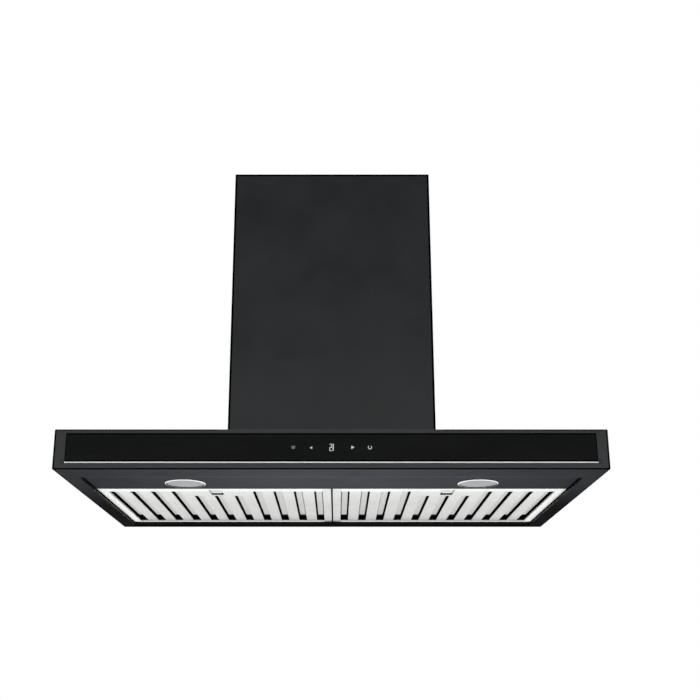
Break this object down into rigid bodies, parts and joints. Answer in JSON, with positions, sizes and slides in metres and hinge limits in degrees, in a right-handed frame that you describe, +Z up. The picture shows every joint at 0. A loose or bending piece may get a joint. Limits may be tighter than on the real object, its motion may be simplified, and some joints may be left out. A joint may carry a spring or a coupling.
{
  "type": "island range hood",
  "caption": "Ceiling-hung kitchen extractor: flat box canopy with glass control front, baffle filters and lamps below, on a telescopic rectangular chimney.",
  "frame": {"origin": "middle of the ceiling plate's top face, which lies against the ceiling", "axes": "+Z up, front of the hood faces -Y, +X to the right seen from the front"},
  "size_m": [0.9, 0.6, 0.608],
  "materials": {
    "black_paint": "satin black powder coat",
    "black_glass": "black back-painted toughened glass",
    "polished_steel": "polished",
    "baffle_steel": "bright brushed stainless",
    "galvanised_steel": "galvanised, dull",
    "spring_steel": "spring wire",
    "lamp_glass": "frosted",
    "black_plastic": "moulded, matt",
    "grey_plastic": "moulded",
    "circuit_board": "solder mask",
    "motor_case": "grey lacquer",
    "cable_sheath": "flexible sheath"
  },
  "bodies": {
    "ceiling": {"ceiling_plate": "galvanised_steel", "upper_chimney": "black_paint", "upper_leg_front_left": "galvanised_steel", "upper_leg_front_right": "galvanised_steel", "upper_leg_rear_left": "galvanised_steel", "upper_leg_rear_right": "galvanised_steel", "upper_brace_front": "galvanised_steel", "upper_brace_rear": "galvanised_steel"},
    "canopy": {"lower_chimney": "black_paint", "lower_leg_front_left": "galvanised_steel", "lower_leg_front_right": "galvanised_steel", "lower_leg_rear_left": "galvanised_steel", "lower_leg_rear_right": "galvanised_steel", "canopy_shell": "black_paint", "light_pan": "black_paint", "glass_panel": "black_glass", "trim_strip": "polished_steel", "touch_board": "circuit_board", "control_box": "black_plastic", "control_box_cover": "black_plastic", "terminal_block": "grey_plastic", "cable_gland": "black_plastic", "lamp_bezel_left": "polished_steel", "lamp_lens_left": "lamp_glass", "lamp_housing_left": "galvanised_steel", "scroll_left": "black_plastic", "inlet_ring_left": "grey_plastic", "lamp_lead_left": "cable_sheath", "lamp_bezel_right": "polished_steel", "lamp_lens_right": "lamp_glass", "lamp_housing_right": "galvanised_steel", "scroll_right": "black_plastic", "inlet_ring_right": "grey_plastic", "lamp_lead_right": "cable_sheath", "blower_box": "galvanised_steel", "motor": "motor_case", "motor_bracket": "galvanised_steel", "capacitor": "grey_plastic", "outlet_collar": "black_plastic", "flap_pin": "polished_steel", "panel_lead": "cable_sheath", "motor_lead": "cable_sheath"},
    "impeller": {"impeller": "grey_plastic", "motor_shaft": "polished_steel"},
    "flap_front": {"damper_flap_front": "galvanised_steel"},
    "flap_rear": {"damper_flap_rear": "galvanised_steel"},
    "filter_left": {"filter_frame_left": "baffle_steel", "lower_baffles_left": "baffle_steel", "upper_baffles_left": "baffle_steel", "latch_guide_left": "galvanised_steel", "latch_spring_left": "spring_steel"},
    "latch_left": {"latch_bolt_left": "polished_steel"},
    "filter_right": {"filter_frame_right": "baffle_steel", "lower_baffles_right": "baffle_steel", "upper_baffles_right": "baffle_steel", "latch_guide_right": "galvanised_steel", "latch_spring_right": "spring_steel"},
    "latch_right": {"latch_bolt_right": "polished_steel"}
  },
  "joints": [
    {"name": "height_slide", "type": "slide", "parent": "ceiling", "child": "canopy", "axis": [0, 0, -1], "range_m": [0, 0.4]},
    {"name": "impeller_spin", "type": "hinge", "parent": "canopy", "child": "impeller", "pos_m": [0, 0.032, -0.431], "axis": [1, 0, 0], "continuous": true},
    {"name": "flap_front_swing", "type": "hinge", "parent": "canopy", "child": "flap_front", "pos_m": [0, 0, -0.288], "axis": [1, 0, 0], "range_deg": [-75, 0]},
    {"name": "flap_rear_swing", "type": "hinge", "parent": "canopy", "child": "flap_rear", "pos_m": [0, 0, -0.288], "axis": [1, 0, 0], "range_deg": [0, 75]},
    {"name": "filter_left_tilt", "type": "hinge", "parent": "canopy", "child": "filter_left", "pos_m": [-0.2111, 0.2702, -0.6003], "axis": [1, 0, 0], "range_deg": [0, 60]},
    {"name": "latch_left_pull", "type": "slide", "parent": "filter_left", "child": "latch_left", "axis": [0, 1, 0], "range_m": [0, 0.008], "stiffness_N_per_m": 400, "springref_m": -0.006, "deforming": ["latch_spring_left"]},
    {"name": "filter_right_tilt", "type": "hinge", "parent": "canopy", "child": "filter_right", "pos_m": [0.2111, 0.2702, -0.6003], "axis": [1, 0, 0], "range_deg": [0, 60]},
    {"name": "latch_right_pull", "type": "slide", "parent": "filter_right", "child": "latch_right", "axis": [0, 1, 0], "range_m": [0, 0.008], "stiffness_N_per_m": 400, "springref_m": -0.006, "deforming": ["latch_spring_right"]}
  ]
}
